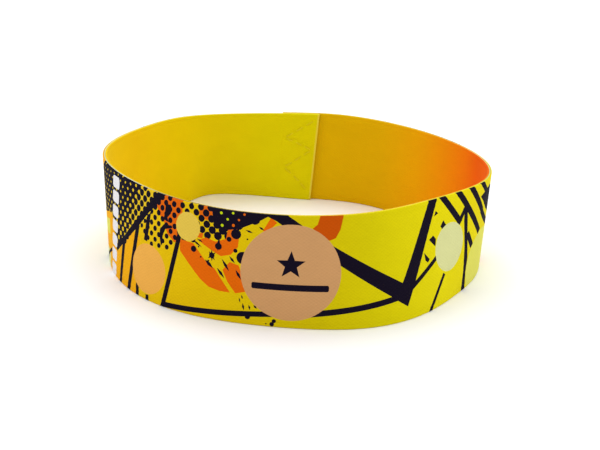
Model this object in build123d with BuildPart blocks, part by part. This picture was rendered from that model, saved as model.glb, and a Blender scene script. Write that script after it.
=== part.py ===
"""Elastic fabric wristband: one length of woven stretch tape, closed into a loop by a stitched lap.

The band stands on its lower edge. The origin is under the middle of the loop, +Z is up
the width of the tape, and the lap is at the back, on +Y. All sizes are in millimetres.
"""

from build123d import *
import os

# Tape, across its section
TAPE_WIDTH = 15.0
CLOTH_THICKNESS = 0.2
CORE_THICKNESS = 0.2
TAPE_THICKNESS = 2 * CLOTH_THICKNESS + CORE_THICKNESS

# Pieces that lie inside the tape, between its two cloths
CORE_CLEARANCE = 0.02
ELASTIC_COUNT = 14
ELASTIC_PITCH = 1.0
ELASTIC_WIDTH = 0.45
SELVEDGE_WIDTH = 0.6

# Loop, seen from above: the tape's middle line, clockwise from the lap's right end
LAP_LENGTH = 6.2
LAP_GAP = 0.05
LAP_MIDDLE_Y = 26.0
LOOP_POINTS = [
    (12.0, 24.25),
    (23.25, 15.5),
    (26.25, -7.0),
    (22.0, -13.75),
    (9.75, -24.75),
    (-0.25, -26.5),
    (-13.75, -23.25),
    (-23.0, -14.5),
    (-27.75, -1.0),
    (-25.75, 12.0),
    (-20.75, 21.25),
]
LOOP_STATIONS = 72

# Zigzag lap seam: its turning points on the lap, as (x, z) from the top right
SEAM_TURNS = [(2.4, 13.9), (-2.6, 10.8), (2.4, 8.8), (-2.6, 5.6), (2.2, 1.8)]
STITCHES_PER_LEG = 3
STITCH_GAP = 0.6
THREAD_WIDTH = 0.28
THREAD_THICKNESS = 0.12

# Worked out from the sizes above
LAYER_STEP = TAPE_THICKNESS + LAP_GAP
OUTER_LAYER_Y = LAP_MIDDLE_Y + LAYER_STEP / 2
INNER_LAYER_Y = LAP_MIDDLE_Y - LAYER_STEP / 2
ALONG_LAP = Vector(1, 0)
CORE_FACE = CORE_THICKNESS / 2 - CORE_CLEARANCE
ELASTIC_SPAN = (ELASTIC_COUNT - 1) * ELASTIC_PITCH + ELASTIC_WIDTH
LOWEST_ELASTIC_Z = (TAPE_WIDTH - ELASTIC_SPAN) / 2

os.makedirs("parts", exist_ok=True)

# The middle line of the tape: along the lap's outer layer, round the loop, and back
# over the lap on the inside.
with BuildLine() as tape_line:
    outer_run = Line((-LAP_LENGTH / 2, OUTER_LAYER_Y), (LAP_LENGTH / 2, OUTER_LAYER_Y))
    loop_run = Spline(
        outer_run @ 1,
        *LOOP_POINTS,
        (-LAP_LENGTH / 2, INNER_LAYER_Y),
        tangents=[ALONG_LAP, ALONG_LAP],
        tangent_scalars=[1, 1],
    )
    inner_run = Line(loop_run @ 1, (LAP_LENGTH / 2, INNER_LAYER_Y))


def outward(point, direction, distance):
    """The point moved square to the tape's direction, away from the middle of the loop."""
    return point + Vector(-direction.Y, direction.X) * distance


def add_parallel_line(distance):
    """Draw the tape's line moved outward by a distance, and return its first and last point."""
    first = outward(outer_run @ 0, ALONG_LAP, distance)
    last = outward(inner_run @ 1, ALONG_LAP, distance)
    stations = [i / LOOP_STATIONS for i in range(LOOP_STATIONS + 1)]
    bend = [outward(loop_run @ u, loop_run % u, distance) for u in stations]
    Line(first, bend[0])
    Spline(*bend, tangents=[ALONG_LAP, ALONG_LAP], tangent_scalars=[1, 1])
    Line(bend[-1], last)
    return first, last


def tape_strip(inside, outside, low, high):
    """One lengthwise strip of the tape.

    inside and outside are its two faces, as distances outward of the tape's middle line,
    and low and high are its lower and upper edges.
    """
    with BuildPart() as strip:
        with BuildSketch(Plane.XY.offset(low)):
            with BuildLine():
                outer_ends = add_parallel_line(outside)
                inner_ends = add_parallel_line(inside)
                Line(outer_ends[0], inner_ends[0])
                Line(outer_ends[1], inner_ends[1])
            make_face()
        extrude(amount=high - low)
    return strip


def seam_stitches(face_y):
    """The zigzag's visible stitches, lying on a face of the lap that looks along -Y."""
    face_plane = Plane((0, face_y, 0), x_dir=(1, 0, 0), z_dir=(0, -1, 0))
    with BuildPart() as stitches:
        for start, end in zip(SEAM_TURNS, SEAM_TURNS[1:]):
            leg = Vector(*end) - Vector(*start)
            tilt = Vector(1, 0).get_signed_angle(leg, Vector(0, 0, 1))
            length = leg.length / STITCHES_PER_LEG - STITCH_GAP
            shares = [(number + 0.5) / STITCHES_PER_LEG for number in range(STITCHES_PER_LEG)]
            middles = [Vector(*start) + leg * share for share in shares]
            with BuildSketch(face_plane):
                with Locations(*[(middle.X, middle.Y) for middle in middles]):
                    SlotOverall(length, THREAD_WIDTH, rotation=tilt)
            extrude(amount=THREAD_THICKNESS)
    return stitches


def finish(piece, name):
    """Label a finished piece and write it under its name."""
    piece.part.label = name
    export_step(piece.part, f"parts/{name}.step")


# The two cloths: the printed one outside, and the plain one that lies against the wrist
outer_face_cloth = tape_strip(CORE_THICKNESS / 2, TAPE_THICKNESS / 2, 0, TAPE_WIDTH)
finish(outer_face_cloth, "outer_face_cloth")

inner_face_cloth = tape_strip(-TAPE_THICKNESS / 2, -CORE_THICKNESS / 2, 0, TAPE_WIDTH)
finish(inner_face_cloth, "inner_face_cloth")

# Selvedge cords: the bound yarns that close the two cloths along each edge
lower_selvedge_cord = tape_strip(-CORE_FACE, CORE_FACE, 0, SELVEDGE_WIDTH)
finish(lower_selvedge_cord, "lower_selvedge_cord")

upper_selvedge_cord = tape_strip(-CORE_FACE, CORE_FACE, TAPE_WIDTH - SELVEDGE_WIDTH, TAPE_WIDTH)
finish(upper_selvedge_cord, "upper_selvedge_cord")

# Elastic threads: flat-cut warp threads, side by side between the cloths
for number in range(ELASTIC_COUNT):
    low_z = LOWEST_ELASTIC_Z + number * ELASTIC_PITCH
    elastic_thread = tape_strip(-CORE_FACE, CORE_FACE, low_z, low_z + ELASTIC_WIDTH)
    finish(elastic_thread, f"elastic_thread_{number + 1:02d}")

# Seam threads: the needle thread lies inside the lap, and the bobbin thread outside it
seam_needle_thread = seam_stitches(INNER_LAYER_Y - TAPE_THICKNESS / 2)
finish(seam_needle_thread, "seam_needle_thread")

seam_bobbin_thread = seam_stitches(OUTER_LAYER_Y + TAPE_THICKNESS / 2 + THREAD_THICKNESS)
finish(seam_bobbin_thread, "seam_bobbin_thread")
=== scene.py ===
"""Elastic fabric wristband: how it looks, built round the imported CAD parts.

The tape is described on its flat strip. p runs along the strip and is 0 at the middle of
the front, growing to the right as seen from outside; z runs up its width. Everything is
laid out on that strip and then bent round the loop. Sizes are in millimetres, and meshes
are scaled to metres as they are made. Only the floor and the lights are given in metres.
"""

import math

import bpy
import numpy as np
from mathutils import Matrix
from mathutils.geometry import delaunay_2d_cdt


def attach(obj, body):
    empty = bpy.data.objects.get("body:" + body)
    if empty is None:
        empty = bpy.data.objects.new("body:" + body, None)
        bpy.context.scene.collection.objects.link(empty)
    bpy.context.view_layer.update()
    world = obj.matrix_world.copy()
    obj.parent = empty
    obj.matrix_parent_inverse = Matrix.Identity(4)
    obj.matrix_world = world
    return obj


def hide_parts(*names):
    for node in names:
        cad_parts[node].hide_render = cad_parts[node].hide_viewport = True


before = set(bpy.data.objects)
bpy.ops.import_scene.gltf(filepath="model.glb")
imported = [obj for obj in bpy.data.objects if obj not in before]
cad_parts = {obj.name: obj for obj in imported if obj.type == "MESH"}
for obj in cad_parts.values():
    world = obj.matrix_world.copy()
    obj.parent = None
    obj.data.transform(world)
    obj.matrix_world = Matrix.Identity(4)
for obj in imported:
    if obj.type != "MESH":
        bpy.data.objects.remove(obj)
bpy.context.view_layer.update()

MM = 0.001

# ---------------------------------------------------------------- driving sizes
# Tape, as in the CAD
TAPE_WIDTH = 15.0
TAPE_THICKNESS = 0.6
CLOTH_THICKNESS = 0.2
ELASTIC_COUNT = 14
ELASTIC_PITCH = 1.0
ELASTIC_WIDTH = 0.45
ELASTIC_THICKNESS = 0.16
LAP_LENGTH = 6.2
LAP_GAP = 0.05
LAP_MIDDLE_Y = 26.0
OUTER_LAYER_Y = LAP_MIDDLE_Y + (TAPE_THICKNESS + LAP_GAP) / 2
INNER_LAYER_Y = LAP_MIDDLE_Y - (TAPE_THICKNESS + LAP_GAP) / 2
LOOP_POINTS = [
    (12.0, 24.25),
    (23.25, 15.5),
    (26.25, -7.0),
    (22.0, -13.75),
    (9.75, -24.75),
    (-0.25, -26.5),
    (-13.75, -23.25),
    (-23.0, -14.5),
    (-27.75, -1.0),
    (-25.75, 12.0),
    (-20.75, 21.25),
]
PATH_STEP = 0.05

# How the wall leans: each wave is (size, waves round the loop, where it peaks in degrees)
MEAN_LEAN = -1.14
LEAN_WAVES = [(0.73, 2, 26.4), (0.77, 3, -39.4), (1.40, 4, -7.2)]
# Where the bottom edge is drawn in: each tuck is (depth, middle, reach below it, reach above it),
# with the last three in degrees round the loop
TUCKS = [(3.2, 131.0, 7.2, 22.0), (2.0, 48.0, 28.0, 13.0)]

# The cloth's own relief
EDGE_SET_BACK = 0.03
EDGE_ROUND = 0.15
RIB_HEIGHT = 0.008
SELVEDGE_GROOVE = 0.03
SELVEDGE_GROOVE_REACH = 0.12
SELVEDGE_WIDTH = 0.6
CUT_END_SKEW = 0.9
CUT_END_REACH = 5.0
LAP_RIDGE = 0.05
LAP_RIDGE_REACH = 0.3
FUSED_END_WIDTH = 0.3

# Selvedge cord: a flat bead of binding loops
CORD_HALF_WIDTH = 0.12
CORD_HALF_HEIGHT = 0.3
CORD_LOOP_PITCH = 0.5
CORD_LOOP_DEPTH = 0.03

# Elastic threads, which swell and narrow along their length
ELASTIC_SWELL = 0.06
ELASTIC_SWELL_PITCH = 3.1
CORE_END_GAP = 0.03

# Zigzag seam, as (x, z) on the lap
SEAM_TURNS = [(2.4, 13.9), (-2.6, 10.8), (2.4, 8.8), (-2.6, 5.6), (2.2, 1.8)]
STITCHES_PER_LEG = 3
STITCH_GAP = 0.6
PLY_RADIUS = 0.07
PLY_TURNS = 3
PLY_HEAVE = 0.6
PLY_STEPS = 40
STITCH_SINK = 0.02
NEEDLE_HOLE_REACH = 0.12
NEEDLE_HOLE_DEPTH = 0.34
SEAM_DIMPLE = 0.05
SEAM_DIMPLE_REACH = 0.4
HOLE_DIMPLE = 0.14
HOLE_DIMPLE_REACH = 0.35

# Print
DOT_PITCH = 1.03
DOT_ANGLE = 52.0
DOT_GRID_REACH = 70
SMALLEST_DOT = 0.08

# Weave: how far apart its yarns lie along and across the strip
YARN_PITCH_ALONG = 0.62
YARN_PITCH_ACROSS = 0.44

# Camera, as in the photograph
CAMERA_AT = (0.65, -160.4, 62.0)
CAMERA_PITCH = 19.76
CAMERA_ROLL = 2.62
CAMERA_LENS = 68.3

# Light: each area light is (name, place in metres, size in metres, power in watts)
WORLD_STRENGTH = 0.88
AREA_LIGHTS = [
    ("top_light", (0.0, 0.3, 0.75), 0.6, 2.6),
    ("left_light", (-0.6, -0.1, 0.35), 0.5, 0.67),
    ("right_light", (0.6, -0.1, 0.35), 0.5, 0.67),
]
FLOOR_HALF_SIZE = 1.5


# ---------------------------------------------------------------- the loop
def clamped_spline(points, slope):
    """Points every PATH_STEP or less on a smooth curve through points.

    Its two ends run along slope.
    """
    points = np.array(points, float)
    spans = np.hypot(*np.diff(points, axis=0).T)
    matrix = np.eye(len(points))
    target = np.zeros((len(points), 2))
    target[0] = target[-1] = slope
    for i in range(1, len(points) - 1):
        before, after = spans[i - 1], spans[i]
        matrix[i, i - 1 : i + 2] = after, 2 * (before + after), before
        step_in = (points[i] - points[i - 1]) / before
        step_out = (points[i + 1] - points[i]) / after
        target[i] = 3 * (after * step_in + before * step_out)
    slopes = np.linalg.solve(matrix, target)
    pieces = []
    for i, span in enumerate(spans):
        t = np.linspace(0, 1, math.ceil(span / PATH_STEP), endpoint=False)[:, None]
        pieces.append(
            (2 * t**3 - 3 * t**2 + 1) * points[i]
            + (t**3 - 2 * t**2 + t) * span * slopes[i]
            + (3 * t**2 - 2 * t**3) * points[i + 1]
            + (t**3 - t**2) * span * slopes[i + 1]
        )
    return np.vstack(pieces + [points[-1:]])


def straight_run(y):
    """Points along one layer of the lap."""
    count = math.ceil(LAP_LENGTH / PATH_STEP)
    x = np.linspace(-LAP_LENGTH / 2, LAP_LENGTH / 2, count)
    return np.c_[x, np.full(count, y)]


def tape_path():
    """The tape's middle line from above: over the lap, clockwise round, and under the lap."""
    outer_run = straight_run(OUTER_LAYER_Y)
    inner_run = straight_run(INNER_LAYER_Y)
    bend = clamped_spline([outer_run[-1], *LOOP_POINTS, inner_run[0]], (1, 0))
    return np.vstack([outer_run[:-1], bend, inner_run[1:]])


PATH = tape_path()
PATH_U = np.r_[0, np.cumsum(np.hypot(*np.diff(PATH, axis=0).T))]
PATH_ALONG = np.gradient(PATH, axis=0)
PATH_ALONG /= np.hypot(*PATH_ALONG.T)[:, None]
TAPE_LENGTH = PATH_U[-1]
HALF_LENGTH = TAPE_LENGTH / 2


def fading(gap, reach):
    """1 where the gap is 0, fading smoothly to nothing at about twice the reach."""
    return np.exp(-((gap / reach) ** 2))


def lean_at(x, y):
    """How far the top edge stands out beyond the bottom edge, in the direction of (x, y)."""
    angle = np.arctan2(y, x)
    lean = np.full_like(angle, MEAN_LEAN)
    for size, waves, peak in LEAN_WAVES:
        lean += size * np.cos(waves * (angle - math.radians(peak)))
    return lean


def tuck_at(x, y):
    """How far the bottom edge is drawn in, in the direction of (x, y)."""
    angle = np.degrees(np.arctan2(y, x))
    tuck = np.zeros_like(angle)
    for depth, middle, reach_below, reach_above in TUCKS:
        away = (angle - middle + 180) % 360 - 180
        reach = np.where(away < 0, reach_below, reach_above)
        tuck += depth * fading(away, reach)
    return tuck


def smooth_rise(t):
    """0 below 0 and 1 above 1, with a smooth rise between them."""
    t = np.clip(t, 0, 1)
    return t * t * (3 - 2 * t)


def bent(p, z, offset):
    """Strip places, bent round the loop. offset is the distance outward of the middle line."""
    p, z, offset = np.broadcast_arrays(*(np.asarray(v, float) for v in (p, z, offset)))
    u = HALF_LENGTH - p
    near_end = smooth_rise((u - TAPE_LENGTH + CUT_END_REACH) / CUT_END_REACH)
    u = u - CUT_END_SKEW * (1 - z / TAPE_WIDTH) * near_end
    x, y = (np.interp(u, PATH_U, PATH[:, axis]) for axis in (0, 1))
    along_x, along_y = (np.interp(u, PATH_U, PATH_ALONG[:, axis]) for axis in (0, 1))
    height = z / TAPE_WIDTH
    out = offset + lean_at(x, y) * (height - 0.5) - tuck_at(x, y) * (1 - height)
    return np.stack([x - along_y * out, y + along_x * out, z], -1)


def on_inner_lap(x):
    """The p of a place x on the lap's inner layer. The same sum turns that p back into x."""
    return LAP_LENGTH / 2 - HALF_LENGTH - x


def on_outer_lap(x):
    """The p of a place x on the lap's outer layer. The same sum turns that p back into x."""
    return HALF_LENGTH - LAP_LENGTH / 2 - x


# ---------------------------------------------------------------- the cloth's relief
def seam_legs():
    """Each straight leg of the zigzag, as its two ends."""
    turns = [np.array(turn) for turn in SEAM_TURNS]
    return list(zip(turns, turns[1:]))


def seam_stitch_ends():
    """Both ends of every stitch, as (x, z) on the lap."""
    ends = []
    for start, end in seam_legs():
        leg = end - start
        length = np.hypot(*leg)
        half = (length / STITCHES_PER_LEG - STITCH_GAP) / 2 / length
        for number in range(STITCHES_PER_LEG):
            middle = (number + 0.5) / STITCHES_PER_LEG
            ends.append((start + leg * (middle - half), start + leg * (middle + half)))
    return ends


def seam_dimple(x, z):
    """How deep the seam pulls a face of the lap in at (x, z)."""
    place = np.stack([x, z], -1)
    depth = np.zeros_like(x)
    for start, end in seam_legs():
        leg = end - start
        share = np.clip((place - start) @ leg / (leg @ leg), 0, 1)
        gap = np.linalg.norm(place - start - share[..., None] * leg, axis=-1)
        depth = np.maximum(depth, SEAM_DIMPLE * fading(gap, SEAM_DIMPLE_REACH))
    for pair in seam_stitch_ends():
        for hole in pair:
            gap = np.linalg.norm(place - hole, axis=-1)
            depth = np.maximum(depth, HOLE_DIMPLE * fading(gap, HOLE_DIMPLE_REACH))
    return depth


def relief(z):
    """How far a cloth's free face stands out of its flat place."""
    from_edge = np.minimum(z, TAPE_WIDTH - z)
    ribs = RIB_HEIGHT * np.cos(2 * np.pi * z / ELASTIC_PITCH)
    groove = SELVEDGE_GROOVE * fading(from_edge - SELVEDGE_WIDTH, SELVEDGE_GROOVE_REACH)
    corner = np.clip(EDGE_ROUND + EDGE_SET_BACK - from_edge, 0, EDGE_ROUND)
    rounding = EDGE_ROUND - np.sqrt(EDGE_ROUND**2 - corner**2)
    return ribs - groove - rounding


def outer_face(p, z):
    """Offset of the printed cloth's free face."""
    return TAPE_THICKNESS / 2 + relief(z) - seam_dimple(on_outer_lap(p), z)


def inner_face(p, z):
    """Offset of the plain cloth's free face."""
    x = on_inner_lap(p)
    ridge = LAP_RIDGE * fading(x + LAP_LENGTH / 2, LAP_RIDGE_REACH)
    return -TAPE_THICKNESS / 2 - relief(z) + seam_dimple(x, z) - ridge


def outer_cloth_back(p, z):
    """Offset of the printed cloth's hidden face."""
    return np.full_like(p, TAPE_THICKNESS / 2 - CLOTH_THICKNESS)


def inner_cloth_back(p, z):
    """Offset of the plain cloth's hidden face."""
    return np.full_like(p, CLOTH_THICKNESS - TAPE_THICKNESS / 2)


# ---------------------------------------------------------------- outlines on the strip
def disc(centre, radius, sides=40):
    """A round outline."""
    turns = [2 * math.pi * i / sides for i in range(sides)]
    return [(centre[0] + radius * math.cos(t), centre[1] + radius * math.sin(t)) for t in turns]


def dot(centre, radius):
    """A small round outline."""
    return disc(centre, radius, sides=12)


def half_width_step(start, end, width):
    """The step of half a width, square to the line from start to end."""
    length = math.dist(start, end)
    return (start[1] - end[1]) / length * width / 2, (end[0] - start[0]) / length * width / 2


def bar(start, end, width):
    """A straight bar with square ends."""
    side_x, side_z = half_width_step(start, end, width)
    return [
        (start[0] + side_x, start[1] + side_z),
        (start[0] - side_x, start[1] - side_z),
        (end[0] - side_x, end[1] - side_z),
        (end[0] + side_x, end[1] + side_z),
    ]


def stroke(start, end, width):
    """A brush mark: widest in the middle, and pointed at both ends."""
    side_x, side_z = half_width_step(start, end, width)
    middle = ((start[0] + end[0]) / 2, (start[1] + end[1]) / 2)
    return [
        start,
        (middle[0] - side_x, middle[1] - side_z),
        end,
        (middle[0] + side_x, middle[1] + side_z),
    ]


def curved_band(centre, radius, width, first, last, steps=14):
    """Part of a ring, between two angles in degrees."""
    angles = [math.radians(first + (last - first) * i / steps) for i in range(steps + 1)]
    outer, inner = radius + width / 2, radius - width / 2
    far = [(centre[0] + outer * math.cos(a), centre[1] + outer * math.sin(a)) for a in angles]
    near = [(centre[0] + inner * math.cos(a), centre[1] + inner * math.sin(a)) for a in angles]
    return far + near[::-1]


def block(centre, width, height):
    """An upright rectangle with cut corners."""
    corner_share = 0.35
    x, z = width / 2, height / 2
    cut = min(x, z) * corner_share
    corners = [(x, z - cut), (x - cut, z), (cut - x, z), (-x, z - cut)]
    corners += [(-x, cut - z), (cut - x, -z), (x - cut, -z), (x, cut - z)]
    return [(centre[0] + dx, centre[1] + dz) for dx, dz in corners]


def star(centre, radius):
    """A plain five-pointed star."""
    inner_radius = radius * 0.42
    outline = []
    for i in range(10):
        reach = radius if i % 2 == 0 else inner_radius
        turn = math.radians(90 + 36 * i)
        outline.append((centre[0] + reach * math.cos(turn), centre[1] + reach * math.sin(turn)))
    return outline


def inside(place, outline):
    """Whether a place on the strip lies inside an outline."""
    hit = False
    for (x0, z0), (x1, z1) in zip(outline, outline[1:] + outline[:1]):
        if (z0 > place[1]) != (z1 > place[1]):
            crossing = x0 + (place[1] - z0) / (z1 - z0) * (x1 - x0)
            hit ^= place[0] < crossing
    return hit


def halftone(region, radius_at, shift=0.0):
    """Dots on the print's slanting grid, inside a region. shift moves them by part of a step."""
    turn = math.radians(DOT_ANGLE)
    step = (DOT_PITCH * math.cos(turn), DOT_PITCH * math.sin(turn))
    dots = []
    for i in range(-DOT_GRID_REACH, DOT_GRID_REACH):
        for j in range(-DOT_GRID_REACH, DOT_GRID_REACH):
            a, b = i + shift, j + shift
            place = (a * step[0] + b * step[1], a * step[1] - b * step[0])
            if inside(place, region) and radius_at(*place) > SMALLEST_DOT:
                dots.append(dot(place, radius_at(*place)))
    return dots


# ---------------------------------------------------------------- the print
# The dotted fields and what lies along their edges, as (p, z)
DARK_FIELD = [
    (-35.2, 15), (-38.5, 12.8), (-43.2, 11.6), (-41.8, 5.4), (-38.0, 6.6), (-33.0, 8.2), (-31.0, 8.6),
    (-28.3, 4.0), (-25.6, 6.3), (-22.3, 9.6), (-20.3, 12.0), (-18.6, 13.6), (-17.4, 15),
]
FIELD_EDGE = [
    (-28.3, 3.9), (-25.6, 6.3), (-22.3, 9.6), (-20.3, 12.0), (-18.6, 13.6), (-17.4, 15), (-19.0, 15),
    (-20.3, 13.4), (-21.6, 11.9), (-22.9, 10.4), (-25.9, 7.1), (-28.3, 5.0),
]
FIELD_LATTICE = [
    (-22.3, 15), (-19.0, 15), (-20.3, 13.4), (-21.6, 11.9), (-22.9, 10.4), (-24.0, 9.2), (-24.7, 9.9),
    (-23.9, 12.3),
]
LIGHT_FIELD = [
    (-17.4, 15), (-18.6, 13.6), (-20.3, 12.0), (-22.3, 9.6), (-20.2, 7.6), (-17.0, 7.6),
    (-14.6, 9.4), (-12.0, 9.2), (-12.0, 15),
]
TOP_FIELD = [
    (-12.6, 15), (-12.4, 12.9), (-11.3, 10.6), (-9.6, 10.8), (-8.0, 11.6), (-7.0, 11.3),
    (-5.2, 13.1), (-3.4, 14.0), (-1.8, 15),
]
TOP_SOLID = [
    (-9.8, 15), (-9.4, 13.2), (-8.6, 12.3), (-7.6, 12.2), (-6.4, 12.5), (-5.2, 13.1), (-3.4, 14.0),
    (-1.8, 15),
]


def from_field_edge(p, z):
    """How far a place lies to the left of the dark field's slanting right edge."""
    foot_p, foot_z = -28.3, 4.0
    run_p, run_z, length = 9.5, 11.0, 14.5
    return (run_p * (z - foot_z) - run_z * (p - foot_p)) / length


def yellow_dot_radius(p, z):
    """The dark field's dots shrink away from its right edge, and grow a little towards the floor."""
    by_edge = 0.1 + 0.35 * math.exp(-from_field_edge(p, z) / 3.5)
    by_height = 0.15 + 0.014 * (14 - z)
    return max(by_edge, by_height)


def lattice_dot_radius(p, z):
    """The navy dots that turn the yellow beside that edge into a lattice."""
    lattice_width = 3.6
    return 0.48 if from_field_edge(p, z) < lattice_width else 0


def dark_field():
    """The large dark field at the left, with yellow dots that grow to the right."""
    shapes = [("navy", DARK_FIELD)]
    shapes += [("dot_yellow", spot) for spot in halftone(DARK_FIELD, yellow_dot_radius)]
    shapes.append(("dot_yellow", FIELD_LATTICE))
    shapes += [("navy", spot) for spot in halftone(DARK_FIELD, lattice_dot_radius, shift=0.5)]
    return shapes + [("navy", FIELD_EDGE)]


def light_field():
    """Navy dots on yellow and orange, right of the dark field."""
    orange = [
        (-17.4, 15), (-18.9, 13.4), (-18.2, 12.2), (-17.2, 11.4), (-17.0, 10.8), (-16.4, 10.0),
        (-15.2, 9.2), (-14.2, 10.0), (-14.2, 15),
    ]
    blade = [
        (-15.8, 11.3), (-17.2, 11.2), (-17.9, 10.4), (-17.9, 9.4), (-17.5, 8.2), (-17.3, 8.4),
        (-17.3, 9.6), (-16.9, 10.6), (-15.7, 11.0),
    ]
    blot = [
        (-17.2, 13.9), (-16.2, 14.0), (-16.1, 12.9), (-16.7, 12.2), (-16.4, 11.6), (-17.4, 11.8),
        (-17.2, 12.8),
    ]
    spots = halftone(LIGHT_FIELD, lambda p, z: 0.34 + 0.012 * (z - 8), shift=0.5)
    post = bar((-20.3, 12.2), (-20.6, 8.0), 0.75)
    return [("orange", orange)] + [("navy", outline) for outline in [*spots, post, blade, blot]]


def top_field():
    """Navy dots at the top, left of the badge, that run together into a solid."""
    upper_chip = [(-11.6, 15), (-11.5, 13.4), (-10.3, 13.2), (-9.6, 13.8), (-9.6, 15)]
    lower_chip = [(-11.7, 11.3), (-11.8, 10.7), (-10.9, 10.7), (-10.8, 11.4)]
    spots = halftone(TOP_FIELD, lambda p, z: 0.45 + 0.03 * (p + 12), shift=0.5)
    shapes = [("orange", upper_chip), ("orange", lower_chip)]
    shapes += [("navy", outline) for outline in [*spots, TOP_SOLID]]
    lime_specks = [(-8.4, 14.5, 0.2), (-7.5, 13.8, 0.17), (-6.8, 14.7, 0.17), (-8.2, 12.9, 0.2)]
    orange_specks = [(-6.7, 13.1, 0.2), (-6.0, 13.9, 0.15), (-5.3, 14.7, 0.16)]
    shapes += [("lime", dot((p, z), radius)) for p, z, radius in lime_specks]
    return shapes + [("orange", dot((p, z), radius)) for p, z, radius in orange_specks]


def leaves():
    """The orange brush shapes between the fields and the badge, and the patch right of it."""
    lower = [
        (-14.3, 9.9), (-12.2, 9.8), (-10.3, 7.8), (-9.0, 7.0), (-6.8, 4.1), (-8.2, 4.1), (-9.7, 4.4),
        (-11.0, 5.3), (-14.2, 8.4),
    ]
    upper = [(-7.9, 7.0), (-7.0, 8.2), (-5.8, 7.9), (-5.2, 6.3), (-4.6, 4.5), (-6.1, 4.1), (-7.2, 5.5)]
    wing = [
        (-11.5, 10.4), (-10.4, 10.9), (-9.0, 10.6), (-7.6, 11.2), (-7.4, 12.4), (-6.2, 12.7),
        (-5.9, 11.4), (-6.0, 10.3), (-6.9, 9.2), (-8.2, 8.8), (-9.6, 9.4), (-10.6, 9.9),
    ]
    tip = [(-2.9, 12.8), (-1.9, 14.6), (-1.1, 14.0), (-1.9, 13.1), (-2.2, 12.7)]
    patch = [
        (4.3, 15), (7.4, 15), (7.0, 13.2), (6.4, 12.1), (5.6, 11.8), (4.4, 12.4), (3.4, 13.4),
        (4.0, 13.9),
    ]
    shapes = [("orange", outline) for outline in (lower, upper, wing, tip)]
    return shapes + [("deep_orange", patch)]


def large_bars():
    """The two thick bars that meet right of the badge, and the thin struts all over the pattern."""
    descending = [
        (-3.0, 15), (0.2, 15), (6.1, 11.1), (16.0, 5.2), (16.7, 1.9), (14.2, 3.7), (7.3, 8.4),
        (-1.2, 14.2),
    ]
    rising = [(21.6, 15), (16.0, 5.2), (15.1, 3.0), (16.7, 1.9), (17.7, 3.8), (18.3, 5.0), (23.3, 15)]
    struts = [
        bar((-16.6, 0.4), (-1.0, 1.8), 0.75),
        bar((3.0, 2.0), (15.6, 3.45), 0.8),
        bar((-14.4, 10.6), (-16.5, -0.3), 0.7),
        bar((17.0, 3.9), (22.9, 7.1), 0.65),
        bar((24.6, 4.3), (20.8, -0.2), 0.6),
        bar((-26.0, 6.4), (-26.4, -0.2), 0.85),
        bar((-22.6, 9.6), (-23.7, -0.2), 0.85),
        bar((-21.6, 1.7), (-21.4, -0.2), 0.7),
        bar((-19.4, 0.8), (-19.2, -0.2), 0.6),
        bar((-37.0, -0.2), (-31.0, 3.2), 0.5),
    ]
    return [("navy", outline) for outline in [descending, rising, *struts]]


def slanting_bars():
    """The slanting bars at the right, the upright that they cross, and the leaf beyond them."""
    upright = [
        (29.5, 12.8), (30.2, 12.2), (30.6, 8.5), (31.2, 4.6), (30.9, 2.6), (31.0, -0.2),
        (29.7, -0.2), (30.1, 3.0), (30.0, 6.5), (29.4, 10.8),
    ]
    leaf = [
        (33.8, 13.0), (35.8, 13.6), (38.0, 13.8), (41.5, 12.2), (44.0, 11.2), (46.0, 8.9),
        (42.0, 8.9), (39.0, 9.3), (36.5, 10.6), (34.8, 12.2),
    ]
    outlines = [
        bar((24.1, 15.3), (28.6, 10.5), 1.0),
        bar((28.2, 10.7), (29.9, 12.7), 0.8),
        bar((27.6, 15.3), (34.6, 7.6), 1.0),
        bar((30.7, 15.3), (34.9, 10.7), 1.0),
        curved_band((43.0, 18.4), 11.3, 1.0, 222, 300),
        bar((33.6, 15.4), (36.2, 13.1), 0.9),
        bar((30.6, 8.5), (32.3, 6.1), 0.95),
        upright,
        leaf,
    ]
    return [("navy", outline) for outline in outlines]


def chips():
    """The small pointed chips beside the cream disc."""
    outlines = [
        [(22.5, 12.7), (22.9, 13.4), (23.4, 13.0)],
        [(23.8, 11.1), (24.5, 11.8), (25.1, 11.0), (24.3, 10.5)],
        [(21.3, 9.8), (22.2, 10.2), (22.8, 9.6), (22.6, 8.6)],
        [(20.2, 8.3), (21.3, 7.2), (20.9, 6.8), (20.4, 7.2)],
    ]
    return [("navy", outline) for outline in outlines]


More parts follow.
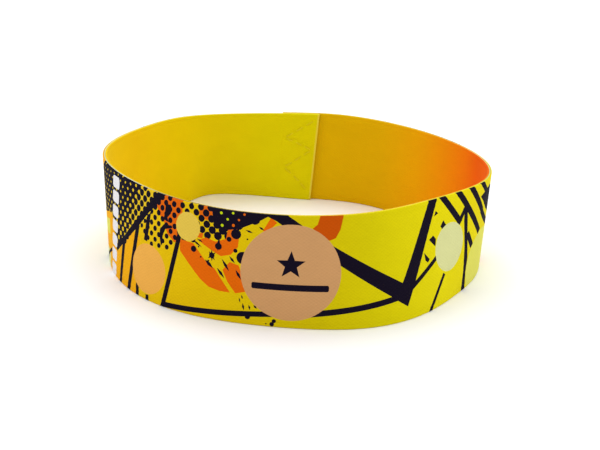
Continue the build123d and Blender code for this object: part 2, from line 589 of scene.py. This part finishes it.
def ink_marks():
    """Loose ink: brush strokes, as (start, end, width), and drops, as (p, z, radius)."""
    strokes = [
        ((-7.1, 9.0), (-6.3, 8.1), 0.35),
        ((-8.1, 8.5), (-7.0, 6.9), 0.4),
        ((-8.7, 7.2), (-7.6, 5.9), 0.4),
        ((-6.2, 7.3), (-5.4, 6.0), 0.4),
        ((-10.4, 8.0), (-9.2, 7.0), 0.5),
        ((-12.4, 10.3), (-10.9, 9.5), 0.3),
        ((-11.7, 10.5), (-10.8, 10.2), 0.25),
        ((-5.3, 4.0), (-5.1, 3.4), 0.2),
        ((-5.6, 3.6), (-5.4, 2.9), 0.2),
        ((-5.1, 2.9), (-4.9, 1.9), 0.3),
        ((-4.3, 2.8), (-4.1, 2.0), 0.25),
        ((-3.7, 2.8), (-3.2, 2.3), 0.3),
        ((-5.1, 12.7), (-4.1, 12.4), 0.28),
        ((-3.4, 13.3), (-2.7, 12.9), 0.3),
        ((-8.7, 9.4), (-8.5, 11.3), 0.45),
        ((-10.0, 8.2), (-8.9, 9.2), 0.4),
        ((-9.9, 9.2), (-9.0, 8.1), 0.4),
        ((-9.4, 7.9), (-9.5, 9.5), 0.4),
    ]
    drops = [
        (-12.1, 9.05, 0.42), (-9.45, 8.7, 0.4), (-8.6, 10.05, 0.48), (-6.3, 9.8, 0.28),
        (-6.3, 12.0, 0.68), (-7.2, 11.2, 0.34), (-4.4, 1.1, 0.35), (-5.3, 8.95, 0.85),
        (-1.0, 0.85, 0.28), (-1.25, 0.4, 0.3), (-2.0, 0.4, 0.1), (-4.8, 11.5, 0.12),
        (-11.0, 8.2, 0.12), (-9.9, 7.9, 0.14), (-11.4, 9.5, 0.12),
    ]
    shapes = [("navy", stroke(*mark)) for mark in strokes]
    return shapes + [("navy", dot((p, z), radius)) for p, z, radius in drops]


def plain_discs():
    """The plain discs of the pattern, which lie over everything else."""
    return [
        ("pale_yellow", disc((-13.2, 11.8), 1.9)),
        ("peach", disc((-19.7, 4.3), 3.4)),
        ("cream", disc((26.0, 7.75), 3.4)),
        ("light_yellow", disc((36.1, 2.6), 5.1)),
    ]


def white_blocks():
    """A column of plain blocks, in the place of the print's upright lettering."""
    column_p, highest_z, pitch = -29.6, 13.5, 2.1
    places = [(column_p, highest_z - pitch * number) for number in range(7)]
    return [("white", block(place, width=2.3, height=1.7)) for place in places]


def badge():
    """The round badge at the front, with a plain star and bar in the place of its mark."""
    middle_p = 0.85
    return [
        ("badge_tan", disc((middle_p, 7.45), radius=6.4, sides=72)),
        ("navy", star((middle_p, 8.5), radius=1.9)),
        ("navy", block((middle_p, 5.5), width=9.8, height=0.85)),
    ]


def motif_group():
    """One repeat of the pattern, as (ink, outline) in painting order."""
    amber = [(-47.0, 0), (-44.0, 15), (-34.5, 15), (-28.3, 8.4), (-24.0, 9.0), (-21.8, 8.0), (-21.8, 0)]
    upper_sliver = [(-43.0, 4.4), (-38.0, 5.8), (-32.6, 7.2), (-32.2, 5.0), (-38.0, 4.0), (-43.0, 3.2)]
    lower_sliver = [(-44.5, 0), (-44.0, 1.4), (-39.0, 1.6), (-32.2, 2.6), (-32.0, 0)]
    shapes = [("amber", amber), ("light_yellow", upper_sliver), ("cream", lower_sliver)]
    shapes += light_field() + dark_field() + top_field() + leaves()
    shapes += ink_marks() + large_bars() + slanting_bars() + chips()
    return shapes + white_blocks() + plain_discs()


def moved(shapes, distance):
    """Shapes moved along the strip."""
    return [(ink, [(p + distance, z) for p, z in outline]) for ink, outline in shapes]


def whole_print():
    """The pattern on the whole strip. The back, which the photograph hides, repeats the front."""
    front = motif_group()
    behind = moved(front, -HALF_LENGTH) + moved(front, HALF_LENGTH)
    return behind + front + badge()


# ---------------------------------------------------------------- strips to meshes
def strip_lines():
    """The p and z of the grid that divides a strip, closer together at the lap and the edges."""
    fine_step, coarse_step = 0.25, 1.0
    fine = np.arange(0, LAP_LENGTH + 0.9, fine_step)
    coarse_end = HALF_LENGTH - LAP_LENGTH
    coarse = np.arange(coarse_step - coarse_end, coarse_end - coarse_step / 2, coarse_step)
    p = np.r_[fine - HALF_LENGTH, coarse, HALF_LENGTH - fine[::-1]]
    edge = EDGE_SET_BACK + np.array([0, 0.02, 0.06, 0.15, 0.3, 0.42, 0.52, 0.62, 0.75])
    middle = np.arange(1.0, TAPE_WIDTH - 0.9, ELASTIC_PITCH / 2)
    return p, np.r_[edge, middle, TAPE_WIDTH - edge[::-1]]


def counter_clockwise(outline):
    """The outline, turned round if it runs clockwise."""
    pairs = zip(outline, outline[1:] + outline[:1])
    area = sum(x0 * z1 - x1 * z0 for (x0, z0), (x1, z1) in pairs)
    return outline if area > 0 else outline[::-1]


def triangulated(shapes):
    """Divide the strip into triangles that follow the grid and every outline.

    Returns the places, the triangles, and for each triangle its topmost shape, or -1.
    """
    lines_p, lines_z = strip_lines()
    across = len(lines_z)
    places = [(p, z) for p in lines_p for z in lines_z]
    edges = []
    for i in range(len(lines_p)):
        for j in range(across):
            if j + 1 < across:
                edges.append((i * across + j, i * across + j + 1))
            if i + 1 < len(lines_p):
                edges.append((i * across + j, (i + 1) * across + j))
    faces = []
    for _, outline in shapes:
        first = len(places)
        places += counter_clockwise(outline)
        faces.append(list(range(first, len(places))))
    merge_gap = 1e-4
    vertices, _, triangles, _, _, shapes_under = delaunay_2d_cdt(places, edges, faces, 0, merge_gap)
    points = np.array([tuple(vertex) for vertex in vertices])
    triangles = np.array(triangles)
    tops = np.array([max(found, default=-1) for found in shapes_under])
    middles = points[triangles].mean(axis=1)
    keep = (np.abs(middles[:, 0]) < HALF_LENGTH) & (middles[:, 1] > lines_z[0])
    keep &= middles[:, 1] < lines_z[-1]
    used, renumbered = np.unique(triangles[keep], return_inverse=True)
    return points[used], renumbered.reshape(-1, 3), tops[keep]


def rim_edges(triangles):
    """The edges that only one triangle uses, in that triangle's direction, and those triangles."""
    pairs = np.vstack([triangles[:, [0, 1]], triangles[:, [1, 2]], triangles[:, [2, 0]]])
    known = {tuple(pair) for pair in pairs.tolist()}
    rim = [i for i, (first, last) in enumerate(pairs.tolist()) if (last, first) not in known]
    return pairs[rim], np.array(rim) % len(triangles)


def face_normals(places, face_offset, outward):
    """The bent face's normal at each place, worked out from steps along and across the strip."""
    step = 0.02
    p, z = places.T
    low, high = z - step, z + step
    along = bent(p + step, z, face_offset(p + step, z)) - bent(p - step, z, face_offset(p - step, z))
    across = bent(p, high, face_offset(p, high)) - bent(p, low, face_offset(p, low))
    normals = np.cross(along, across) * outward
    return normals / np.linalg.norm(normals, axis=1)[:, None]


def add_piece(name, points, faces, materials, face_materials, strip_places, slot, *replaced):
    """Make a smooth mesh piece on the root body, hide the CAD parts it replaces, and return it."""
    mesh = bpy.data.meshes.new(name)
    mesh.from_pydata((np.asarray(points) * MM).tolist(), [], [list(face) for face in faces])
    for material in materials:
        mesh.materials.append(material)
    mesh.polygons.foreach_set("material_index", np.asarray(face_materials, dtype=np.int32))
    mesh.polygons.foreach_set("use_smooth", [True] * len(faces))
    strip = mesh.attributes.new("strip", "FLOAT_VECTOR", "POINT")
    strip.data.foreach_set("vector", np.asarray(strip_places, dtype=np.float32).ravel())
    piece = bpy.data.objects.new(name, mesh)
    bpy.context.scene.collection.objects.link(piece)
    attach(piece, "root")
    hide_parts(*replaced)
    return piece


def add_cloth(name, strip, free_face, back_face, outward, materials, inks, back_ink, slot, node):
    """A thin closed cloth from a triangulated strip.

    outward is 1 where the free face looks out of the loop, and -1 where it looks in. inks
    gives the material of each triangle, and back_ink that of the hidden face.
    """
    places, triangles = strip
    count = len(places)
    p, z = places.T
    free = bent(p, z, free_face(p, z))
    back = bent(p, z, back_face(p, z))
    rim, rim_owners = rim_edges(triangles)
    free_faces = triangles[:, ::outward]
    back_faces = triangles[:, ::-outward] + count
    walls = np.c_[rim[:, 1], rim[:, 0], rim[:, 0] + count, rim[:, 1] + count][:, ::outward]
    faces = free_faces.tolist() + back_faces.tolist() + walls.tolist()
    face_inks = np.r_[inks, np.full(len(triangles), back_ink), inks[rim_owners]]
    height = np.r_[np.zeros(count), np.full(count, CLOTH_THICKNESS)]
    strip_places = np.c_[np.tile(places, (2, 1)), height]
    piece = add_piece(
        name, np.vstack([free, back]), faces, materials, face_inks, strip_places, slot, node
    )
    free_normals = face_normals(places, free_face, outward)
    back_normals = face_normals(places, back_face, -outward)
    corners = np.vstack([free, back])[walls]
    wall_normals = np.cross(corners[:, 1] - corners[:, 0], corners[:, 3] - corners[:, 0])
    wall_normals /= np.linalg.norm(wall_normals, axis=1)[:, None]
    corner_normals = np.vstack(
        [
            free_normals[free_faces.ravel()],
            back_normals[back_faces.ravel() - count],
            np.repeat(wall_normals, 4, axis=0),
        ]
    )
    piece.data.normals_split_custom_set(corner_normals.tolist())
    return piece


def tube(centres, right, up, half_width, half_height, sides=8):
    """Points and faces of a closed tube. Its half sizes are given at each centre."""
    angles = np.arange(sides) * 2 * np.pi / sides
    ring = centres[:, None] + (
        right[:, None] * np.cos(angles)[None, :, None] * half_width[:, None, None]
        + up[:, None] * np.sin(angles)[None, :, None] * half_height[:, None, None]
    )
    faces = []
    for i in range(len(centres) - 1):
        for j in range(sides):
            k = (j + 1) % sides
            faces.append((i * sides + j, i * sides + k, (i + 1) * sides + k, (i + 1) * sides + j))
    last = (len(centres) - 1) * sides
    faces.append(tuple(reversed(range(sides))))
    faces.append(tuple(last + j for j in range(sides)))
    return ring.reshape(-1, 3), faces


def core_tube(z, half_width, half_height, step):
    """A tube that runs between the cloths along the whole strip, and its strip places."""
    count = math.ceil(TAPE_LENGTH / step)
    end = HALF_LENGTH - CORE_END_GAP
    p = np.linspace(end, -end, count)
    right = bent(p, z, 0.5) - bent(p, z, -0.5)
    up = bent(p, z + 0.5, 0.0) - bent(p, z - 0.5, 0.0)
    points, faces = tube(bent(p, z, 0.0), right, up, half_width(p), half_height(p))
    around = np.repeat(p, len(points) // count)
    return points, faces, np.c_[around, np.full_like(around, z), np.zeros_like(around)]


# ---------------------------------------------------------------- materials
def linear(colour):
    """A picture colour of 0 to 255 as Blender's linear colour."""
    shares = [channel / 255 for channel in colour]
    return (*[c / 12.92 if c <= 0.04045 else ((c + 0.055) / 1.055) ** 2.4 for c in shares], 1)


class Shader:
    """A material's node tree, with short calls for the nodes used here."""

    def __init__(self, name):
        self.material = bpy.data.materials.new(name)
        self.material.use_nodes = True
        self.tree = self.material.node_tree
        self.surface = self.tree.nodes["Principled BSDF"]

    def feed(self, socket, value):
        """Link a socket to another node's output, or set its value."""
        if isinstance(value, bpy.types.NodeSocket):
            self.tree.links.new(value, socket)
        else:
            socket.default_value = value

    def math(self, operation, first, second=0.0, third=0.0):
        """One sum. Only MULTIPLY_ADD uses the third value."""
        node = self.tree.nodes.new("ShaderNodeMath")
        node.operation = operation
        for socket, value in zip(node.inputs, (first, second, third)):
            self.feed(socket, value)
        return node.outputs[0]

    def strip(self):
        """p and z on the flat strip, in millimetres, and both together."""
        place = self.tree.nodes.new("ShaderNodeAttribute")
        place.attribute_name = "strip"
        parts = self.tree.nodes.new("ShaderNodeSeparateXYZ")
        self.feed(parts.inputs[0], place.outputs["Vector"])
        return parts.outputs[0], parts.outputs[1], place.outputs["Vector"]

    def wave(self, value, pitch):
        """A sine wave of the given pitch."""
        return self.math("SINE", self.math("MULTIPLY", value, 2 * math.pi / pitch))

    def noise(self, vector, stretch, detail=3.0):
        """Noise that changes stretch times a millimetre along each axis."""
        mapping = self.tree.nodes.new("ShaderNodeMapping")
        self.feed(mapping.inputs["Vector"], vector)
        mapping.inputs["Scale"].default_value = stretch
        node = self.tree.nodes.new("ShaderNodeTexNoise")
        self.feed(node.inputs["Vector"], mapping.outputs[0])
        node.inputs["Scale"].default_value = 1.0
        node.inputs["Detail"].default_value = detail
        return node.outputs[0]

    def ramp(self, value, stops):
        """Colours along a value. stops is a list of (value, colour)."""
        low, high = stops[0][0], stops[-1][0]
        share = self.tree.nodes.new("ShaderNodeMapRange")
        self.feed(share.inputs["Value"], value)
        share.inputs["From Min"].default_value = low
        share.inputs["From Max"].default_value = high
        node = self.tree.nodes.new("ShaderNodeValToRGB")
        self.feed(node.inputs[0], share.outputs[0])
        while len(node.color_ramp.elements) < len(stops):
            node.color_ramp.elements.new(0.5)
        for element, (place, colour) in zip(node.color_ramp.elements, stops):
            element.position = (place - low) / (high - low)
            element.color = linear(colour)
        return node.outputs[0]

    def shaded(self, colour, value, depth):
        """The colour made darker and lighter as a value goes from 0 to 1."""
        scaled = self.math("MULTIPLY_ADD", value, 2 * depth, 1 - depth)
        node = self.tree.nodes.new("ShaderNodeVectorMath")
        node.operation = "SCALE"
        self.feed(node.inputs[0], colour)
        self.feed(node.inputs["Scale"], scaled)
        return node.outputs[0]

    def bump(self, height, distance, strength):
        """Relief from a height, where a height of 1 stands out by distance."""
        node = self.tree.nodes.new("ShaderNodeBump")
        node.inputs["Strength"].default_value = strength
        node.inputs["Distance"].default_value = distance * MM
        self.feed(node.inputs["Height"], height)
        self.feed(self.surface.inputs["Normal"], node.outputs[0])

    def set(self, **values):
        """Set the surface's own sockets, with _ for the spaces in their names."""
        for name, value in values.items():
            self.surface.inputs[name.replace("_", " ")].default_value = value


def woven(name, stops, contrast=0.06):
    """Fine woven polyester. stops gives its colour along the strip as (p, colour)."""
    shader = Shader(name)
    p, z, place = shader.strip()
    weave = shader.math("MULTIPLY", shader.wave(p, YARN_PITCH_ALONG), shader.wave(z, YARN_PITCH_ACROSS))
    weave = shader.math("MULTIPLY_ADD", weave, 0.5, 0.5)
    yarn = shader.noise(place, (0.9, 5.0, 1.0))
    height = shader.math("ADD", weave, yarn)
    blotches = shader.noise(place, (0.22, 0.3, 1.0), detail=2.0)
    colour = shader.ramp(p, stops)
    colour = shader.shaded(colour, shader.math("MULTIPLY", height, 0.5), contrast)
    colour = shader.shaded(colour, blotches, 0.05)
    shader.feed(shader.surface.inputs["Base Color"], colour)
    shader.feed(shader.surface.inputs["Roughness"], shader.math("MULTIPLY_ADD", height, -0.08, 0.92))
    shader.set(Sheen_Weight=0.02, Sheen_Roughness=0.4, Specular_IOR_Level=0.06)
    shader.bump(height, distance=0.05, strength=0.35)
    return shader.material


def ink(name, colour):
    """Woven cloth dyed one colour."""
    return woven(name, [(-HALF_LENGTH, colour), (HALF_LENGTH, colour)])


def selvedge_yarn():
    """The bulky binding yarn along both edges, pale in places and stained by the print in others."""
    shader = Shader("selvedge_yarn")
    p, _, place = shader.strip()
    loops = shader.wave(p, CORD_LOOP_PITCH)
    fibres = shader.noise(place, (6.0, 9.0, 6.0))
    colour = shader.ramp(
        p,
        [
            (-90, (226, 214, 60)),
            (-45, (232, 222, 150)),
            (-25, (218, 222, 204)),
            (-16, (120, 112, 84)),
            (-4, (110, 100, 70)),
            (2, (236, 226, 60)),
            (32, (238, 230, 40)),
            (40, (226, 222, 160)),
            (90, (226, 214, 60)),
        ],
    )
    colour = shader.shaded(colour, fibres, 0.12)
    shader.feed(shader.surface.inputs["Base Color"], colour)
    shader.feed(shader.surface.inputs["Roughness"], shader.math("ADD", fibres, 0.35))
    shader.set(Sheen_Weight=0.03, Sheen_Roughness=0.5, Specular_IOR_Level=0.1)
    shader.bump(shader.math("ADD", loops, fibres), distance=0.05, strength=0.5)
    return shader.material


def elastic_rubber():
    """Off-white rubber thread with fine lengthwise grooves."""
    shader = Shader("elastic_rubber")
    _, _, place = shader.strip()
    grain = shader.noise(place, (0.8, 12.0, 4.0))
    colour = shader.ramp(grain, [(0.3, (214, 208, 184)), (0.7, (236, 232, 214))])
    shader.feed(shader.surface.inputs["Base Color"], colour)
    shader.feed(shader.surface.inputs["Roughness"], shader.math("ADD", grain, 0.05))
    shader.set(Specular_IOR_Level=0.5)
    shader.bump(grain, distance=0.03, strength=0.4)
    return shader.material


def seam_thread():
    """Twisted sewing thread, dyed to match the cloth."""
    shader = Shader("seam_thread")
    _, _, place = shader.strip()
    fibres = shader.noise(place, (9.0, 9.0, 9.0))
    colour = shader.ramp(fibres, [(0.3, (211, 200, 4)), (0.7, (225, 214, 16))])
    shader.feed(shader.surface.inputs["Base Color"], colour)
    shader.feed(shader.surface.inputs["Roughness"], shader.math("ADD", fibres, 0.1))
    shader.set(Sheen_Weight=0.03, Specular_IOR_Level=0.15)
    shader.bump(fibres, distance=0.03, strength=0.5)
    return shader.material


def plain_floor():
    """Matt white studio floor with the faintest grain."""
    shader = Shader("plain_floor")
    coordinates = shader.tree.nodes.new("ShaderNodeTexCoord")
    grain = shader.noise(coordinates.outputs["Object"], (40.0, 40.0, 40.0))
    colour = shader.ramp(grain, [(0.0, (250, 250, 250)), (1.0, (252, 252, 252))])
    shader.feed(shader.surface.inputs["Base Color"], colour)
    shader.set(Roughness=0.9, Specular_IOR_Level=0.1)
    return shader.material


# The two cloths' own colours along the strip, as (p, colour), and the print's inks
GROUND_STOPS = [
    (-90, (208, 193, 0)),
    (-62, (210, 189, 0)),
    (-35, (220, 178, 2)),
    (-10, (212, 177, 0)),
    (5, (196, 179, 0)),
    (12, (202, 189, 0)),
    (24, (218, 205, 0)),
    (35, (219, 202, 0)),
    (62, (211, 189, 0)),
    (90, (208, 193, 0)),
]
INNER_STOPS = [
    (-90, (213, 207, 0)),
    (-80, (215, 206, 0)),
    (-72, (219, 202, 0)),
    (-64, (225, 200, 0)),
    (-52, (229, 192, 0)),
    (-20, (228, 195, 0)),
    (20, (234, 175, 0)),
    (42, (230, 94, 0)),
    (48, (230, 94, 0)),
    (52, (232, 117, 0)),
    (56, (233, 135, 0)),
    (64, (226, 162, 0)),
    (72, (215, 170, 0)),
    (90, (215, 182, 0)),
]
INK_COLOURS = {
    "amber": (229, 164, 3),
    "orange": (212, 95, 1),
    "deep_orange": (185, 74, 0),
    "navy": (15, 8, 26),
    "dot_yellow": (217, 183, 28),
    "lime": (183, 200, 10),
    "pale_yellow": (213, 182, 70),
    "peach": (225, 165, 72),
    "cream": (207, 208, 146),
    "light_yellow": (213, 210, 91),
    "badge_tan": (192, 144, 95),
    "white": (221, 219, 221),
}
RAW_CLOTH = (226, 216, 120)


# ---------------------------------------------------------------- pieces
def add_printed_cloth():
    """The outer cloth, with the print cut into it and one material for each ink."""
    shapes = whole_print()
    places, triangles, tops = triangulated(shapes)
    names = list(INK_COLOURS)
    materials = [woven("ground_print", GROUND_STOPS)]
    materials += [ink(f"{name}_print", INK_COLOURS[name]) for name in names]
    materials.append(ink("raw_cloth", RAW_CLOTH))
    inks = np.array([0 if top < 0 else 1 + names.index(shapes[top][0]) for top in tops])
    piece = add_cloth(
        "printed_outer_cloth",
        (places, triangles),
        outer_face,
        outer_cloth_back,
        outward=1,
        materials=materials,
        inks=inks,
        back_ink=len(materials) - 1,
        slot="printed_cloth",
        node="outer_face_cloth",
    )


def add_plain_cloth():
    """The inner cloth, whose cut end is fused into a narrow pale line."""
    margin = 1
    fused_from = -HALF_LENGTH - margin
    fused_to = FUSED_END_WIDTH - HALF_LENGTH
    fused_end = [
        (fused_from, -margin),
        (fused_to, -margin),
        (fused_to, TAPE_WIDTH + margin),
        (fused_from, TAPE_WIDTH + margin),
    ]
    places, triangles, tops = triangulated([("fused", fused_end)])
    materials = [
        woven("plain_inner_weave", INNER_STOPS, contrast=0.04),
        ink("fused_end", (222, 207, 62)),
        ink("raw_cloth_inside", RAW_CLOTH),
    ]
    piece = add_cloth(
        "plain_inner_cloth",
        (places, triangles),
        inner_face,
        inner_cloth_back,
        outward=-1,
        materials=materials,
        inks=np.where(tops >= 0, 1, 0),
        back_ink=2,
        slot="plain_cloth",
        node="inner_face_cloth",
    )


def add_selvedge_cord(name, z, material):
    """The scalloped cord along one edge of the tape."""

    def waist(p):
        return CORD_LOOP_DEPTH * np.abs(np.sin(np.pi * p / CORD_LOOP_PITCH))

    points, faces, places = core_tube(
        z,
        half_width=lambda p: CORD_HALF_WIDTH - waist(p),
        half_height=lambda p: CORD_HALF_HEIGHT - waist(p),
        step=CORD_LOOP_PITCH / 6,
    )
    add_piece(f"bound_{name}", points, faces, [material], [0] * len(faces), places, "selvedge", name)


def add_elastic_thread(number, material):
    """One elastic thread. Each swells at other places than its neighbours do."""

    def fullness(p):
        wave = np.cos(2 * np.pi * p / ELASTIC_SWELL_PITCH + number)
        return 1 - ELASTIC_SWELL + ELASTIC_SWELL * wave

    name = f"elastic_thread_{number + 1:02d}"
    middle = TAPE_WIDTH / 2 + (number - (ELASTIC_COUNT - 1) / 2) * ELASTIC_PITCH
    points, faces, places = core_tube(
        middle,
        half_width=lambda p: np.full_like(p, ELASTIC_THICKNESS / 2),
        half_height=lambda p: ELASTIC_WIDTH / 2 * fullness(p),
        step=1.0,
    )
    add_piece(f"rubber_{name}", points, faces, [material], [0] * len(faces), places, "elastic", name)


def twisted_stitch(start, end, ply):
    """One ply of a stitch between two needle holes: its x and z on the lap, and its rise off it."""
    length = np.hypot(*(end - start))
    along_x, along_z = (end - start) / length
    reach = np.linspace(-NEEDLE_HOLE_REACH, length + NEEDLE_HOLE_REACH, PLY_STEPS)
    turn = 2 * np.pi * (PLY_TURNS * reach / length + ply / 2)
    sway = PLY_RADIUS * np.cos(turn)
    x = start[0] + along_x * reach - along_z * sway
    z = start[1] + along_z * reach + along_x * sway
    from_end = NEEDLE_HOLE_REACH + np.minimum(reach, length - reach)
    dip = NEEDLE_HOLE_DEPTH * np.exp(-from_end / NEEDLE_HOLE_REACH)
    rise = PLY_RADIUS * (1 + PLY_HEAVE * np.sin(turn)) - dip - STITCH_SINK
    return x, rise, z


def add_seam(name, node, p_of, face, outward, material):
    """All the stitches on one side of the lap. p_of turns an x on that side into its p."""
    points, faces = np.empty((0, 3)), []
    for start, end in seam_stitch_ends():
        for ply in (0, 1):
            x, rise, z = twisted_stitch(start, end, ply)
            p = p_of(x)
            centres = bent(p, z, face(p, z) + outward * rise)
            ahead = np.gradient(centres, axis=0)
            ahead /= np.linalg.norm(ahead, axis=1)[:, None]
            side = np.cross(ahead, [0, 1, 0])
            side /= np.linalg.norm(side, axis=1)[:, None]
            up = np.cross(side, ahead)
            size = np.full(len(x), PLY_RADIUS)
            ply_points, ply_faces = tube(centres, side, up, size, size)
            faces += [tuple(len(points) + corner for corner in ply_face) for ply_face in ply_faces]
            points = np.vstack([points, ply_points])
    # The thread's fibres need no strip places, so its own points serve
    add_piece(name, points, faces, [material], [0] * len(faces), points, "sewing_thread", node)


def add_all_pieces():
    """Every piece of the band."""
    add_printed_cloth()
    add_plain_cloth()
    yarn = selvedge_yarn()
    add_selvedge_cord("lower_selvedge_cord", CORD_HALF_HEIGHT, yarn)
    add_selvedge_cord("upper_selvedge_cord", TAPE_WIDTH - CORD_HALF_HEIGHT, yarn)
    rubber = elastic_rubber()
    for number in range(ELASTIC_COUNT):
        add_elastic_thread(number, rubber)
    thread = seam_thread()
    add_seam("needle_stitches", "seam_needle_thread", on_inner_lap, inner_face, -1, thread)
    add_seam("bobbin_stitches", "seam_bobbin_thread", on_outer_lap, outer_face, 1, thread)


# ---------------------------------------------------------------- floor, light, camera
def add_floor():
    """A plain square floor."""
    half = FLOOR_HALF_SIZE
    mesh = bpy.data.meshes.new("studio_floor")
    corners = [(-half, -half, 0), (half, -half, 0), (half, half, 0), (-half, half, 0)]
    mesh.from_pydata(corners, [], [(0, 1, 2, 3)])
    mesh.materials.append(plain_floor())
    floor = bpy.data.objects.new("studio_floor", mesh)
    bpy.context.scene.collection.objects.link(floor)


def add_area_light(name, place, size, power):
    """A soft square light that points at the middle of the band's foot."""
    light = bpy.data.lights.new(name, "AREA")
    light.size = size
    light.energy = power
    lamp = bpy.data.objects.new(name, light)
    lamp.location = place
    direction = -lamp.location
    lamp.rotation_euler = direction.to_track_quat("-Z", "Y").to_euler()
    bpy.context.scene.collection.objects.link(lamp)


def add_world():
    """Even white light from all round."""
    world = bpy.data.worlds.new("studio")
    world.use_nodes = True
    background = world.node_tree.nodes["Background"]
    background.inputs["Color"].default_value = (1, 1, 1, 1)
    background.inputs["Strength"].default_value = WORLD_STRENGTH
    bpy.context.scene.world = world


def add_camera():
    """The camera, which looks along +Y, down by its pitch and turned by its roll."""
    camera = bpy.data.cameras.new("camera")
    camera.lens = CAMERA_LENS
    camera.clip_start = 0.005
    holder = bpy.data.objects.new("camera", camera)
    tilt = Matrix.Rotation(math.radians(90 - CAMERA_PITCH), 4, "X")
    roll = Matrix.Rotation(math.radians(CAMERA_ROLL), 4, "Z")
    place = Matrix.Translation([value * MM for value in CAMERA_AT])
    holder.matrix_world = place @ tilt @ roll
    bpy.context.scene.collection.objects.link(holder)
    bpy.context.scene.camera = holder


add_all_pieces()
add_floor()
add_world()
for area_light in AREA_LIGHTS:
    add_area_light(*area_light)
add_camera()
bpy.context.scene.view_settings.view_transform = "Standard"
